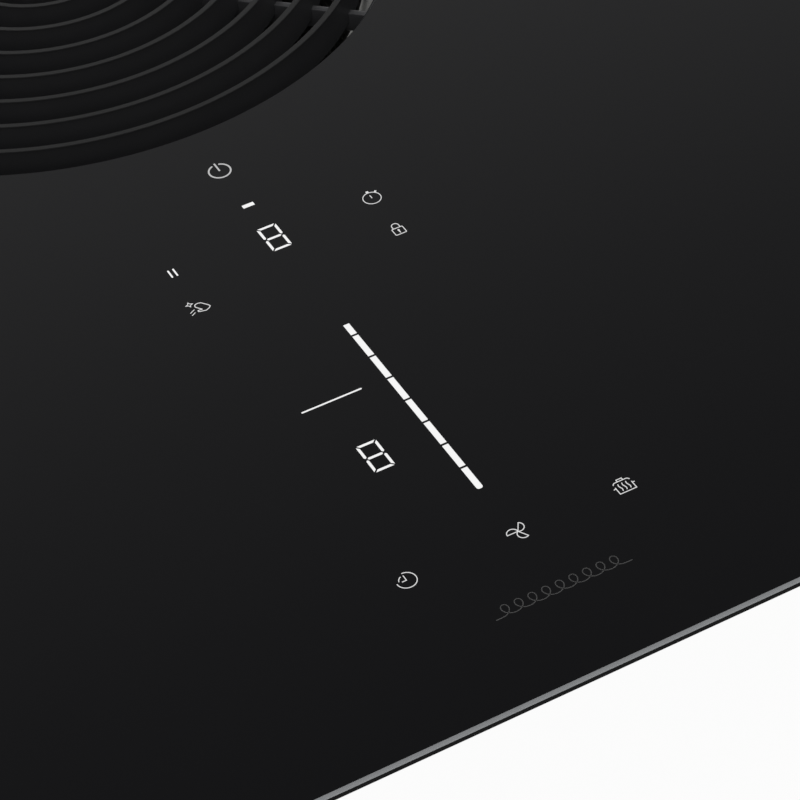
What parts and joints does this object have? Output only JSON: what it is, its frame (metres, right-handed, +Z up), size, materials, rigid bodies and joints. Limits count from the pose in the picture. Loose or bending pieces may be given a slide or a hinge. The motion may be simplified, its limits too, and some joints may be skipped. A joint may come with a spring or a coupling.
{
  "type": "downdraft induction cooktop",
  "caption": "Frameless black ceramic-glass induction cooktop with touch controls at the front, a round ring-grille intake in the middle, a lift-out grease filter and a fan unit below.",
  "frame": {"origin": "centre of the fan unit's base, below the middle of the glass", "axes": "+Z up; +X to the right along the glass's width; +Y to the back, where the air leaves; the controls are at the front, at -Y"},
  "size_m": [0.78, 0.52, 0.21],
  "materials": {
    "glass": "polished black ceramic glass",
    "seal": "soft foam",
    "zinc": "zinc-coated sheet",
    "aluminium": "mill finish",
    "black_plastic": "fine texture",
    "cast": "matt black coating",
    "steel": "satin",
    "copper": "lacquered copper litz",
    "board": "solder mask",
    "rubber": "matt",
    "grey_plastic": "fine texture"
  },
  "bodies": {
    "hob": {"glass_top": "glass", "glass_seal": "seal", "well_seal": "seal", "base_pan": "zinc", "coil_tray_left": "aluminium", "heat_sink_left": "aluminium", "electronics_holder_left": "black_plastic", "cooling_fan_frame_left": "black_plastic", "inverter_board_left": "board", "induction_coil_front_left": "copper", "clamp_screw_front_left": "steel", "induction_coil_back_left": "copper", "clamp_screw_back_left": "steel", "coil_tray_right": "aluminium", "heat_sink_right": "aluminium", "electronics_holder_right": "black_plastic", "cooling_fan_frame_right": "black_plastic", "inverter_board_right": "board", "induction_coil_front_right": "copper", "clamp_screw_front_right": "steel", "induction_coil_back_right": "copper", "clamp_screw_back_right": "steel", "control_holder": "black_plastic", "light_guide": "black_plastic", "inlet_well": "black_plastic", "plenum_base": "black_plastic", "plenum_lid": "black_plastic", "scroll_housing": "black_plastic", "outlet_adapter": "black_plastic", "terminal_box": "black_plastic", "control_board": "board", "fan_motor": "steel", "fan_inlet_ring": "grey_plastic", "cable_gland": "grey_plastic", "spigot_seal": "rubber", "rubber_buffer_1": "rubber", "rubber_buffer_2": "rubber", "rubber_buffer_3": "rubber", "hanger_strap_front": "zinc", "hanger_strap_back": "zinc"},
    "drip_tray": {"drip_tray_floor": "grey_plastic", "drip_tray_wall": "grey_plastic"},
    "filter": {"filter_floor": "steel", "filter_basket": "steel", "filter_rim": "steel", "filter_mesh": "steel"},
    "grille": {"vent_grille": "cast"},
    "fan_wheel": {"impeller": "grey_plastic", "wheel_shaft": "steel"},
    "outlet_flap": {"outlet_flap": "grey_plastic"},
    "terminal_cover": {"terminal_cover": "black_plastic"},
    "cooling_rotor_left": {"cooling_fan_rotor_left": "black_plastic"},
    "cooling_rotor_right": {"cooling_fan_rotor_right": "black_plastic"},
    "clamp_front_left": {"clamp_arm_front_left": "zinc"},
    "clamp_back_left": {"clamp_arm_back_left": "zinc"},
    "clamp_front_right": {"clamp_arm_front_right": "zinc"},
    "clamp_back_right": {"clamp_arm_back_right": "zinc"}
  },
  "joints": [
    {"name": "tray_lift", "type": "slide", "parent": "hob", "child": "drip_tray", "axis": [0, 0, 1], "range_m": [0, 0.26]},
    {"name": "filter_lift", "type": "slide", "parent": "drip_tray", "child": "filter", "axis": [0, 0, 1], "range_m": [0, 0.18]},
    {"name": "grille_lift", "type": "slide", "parent": "filter", "child": "grille", "axis": [0, 0, 1], "range_m": [0, 0.08]},
    {"name": "fan_wheel_spin", "type": "hinge", "parent": "hob", "child": "fan_wheel", "pos_m": [0.215, 0.06, 0.09], "axis": [0, 0, 1], "continuous": true},
    {"name": "outlet_flap_swing", "type": "hinge", "parent": "hob", "child": "outlet_flap", "pos_m": [0.2645, 0.246, 0.1383], "axis": [1, 0, 0], "range_deg": [0, 75]},
    {"name": "terminal_cover_swing", "type": "hinge", "parent": "hob", "child": "terminal_cover", "pos_m": [-0.138, 0.128, 0.126], "axis": [-1, 0, 0], "range_deg": [0, 95]},
    {"name": "cooling_fan_left_spin", "type": "hinge", "parent": "hob", "child": "cooling_rotor_left", "pos_m": [-0.252, 0.132, 0.17], "axis": [0, 0, 1], "continuous": true},
    {"name": "clamp_front_left_swing", "type": "hinge", "parent": "hob", "child": "clamp_front_left", "pos_m": [-0.356, -0.14, 0.1515], "axis": [0, 0, 1], "range_deg": [0, 90]},
    {"name": "clamp_back_left_swing", "type": "hinge", "parent": "hob", "child": "clamp_back_left", "pos_m": [-0.356, 0.14, 0.1515], "axis": [0, 0, -1], "range_deg": [0, 90]},
    {"name": "cooling_fan_right_spin", "type": "hinge", "parent": "hob", "child": "cooling_rotor_right", "pos_m": [0.252, 0.132, 0.17], "axis": [0, 0, 1], "continuous": true},
    {"name": "clamp_front_right_swing", "type": "hinge", "parent": "hob", "child": "clamp_front_right", "pos_m": [0.356, -0.14, 0.1515], "axis": [0, 0, -1], "range_deg": [0, 90]},
    {"name": "clamp_back_right_swing", "type": "hinge", "parent": "hob", "child": "clamp_back_right", "pos_m": [0.356, 0.14, 0.1515], "axis": [0, 0, 1], "range_deg": [0, 90]}
  ]
}
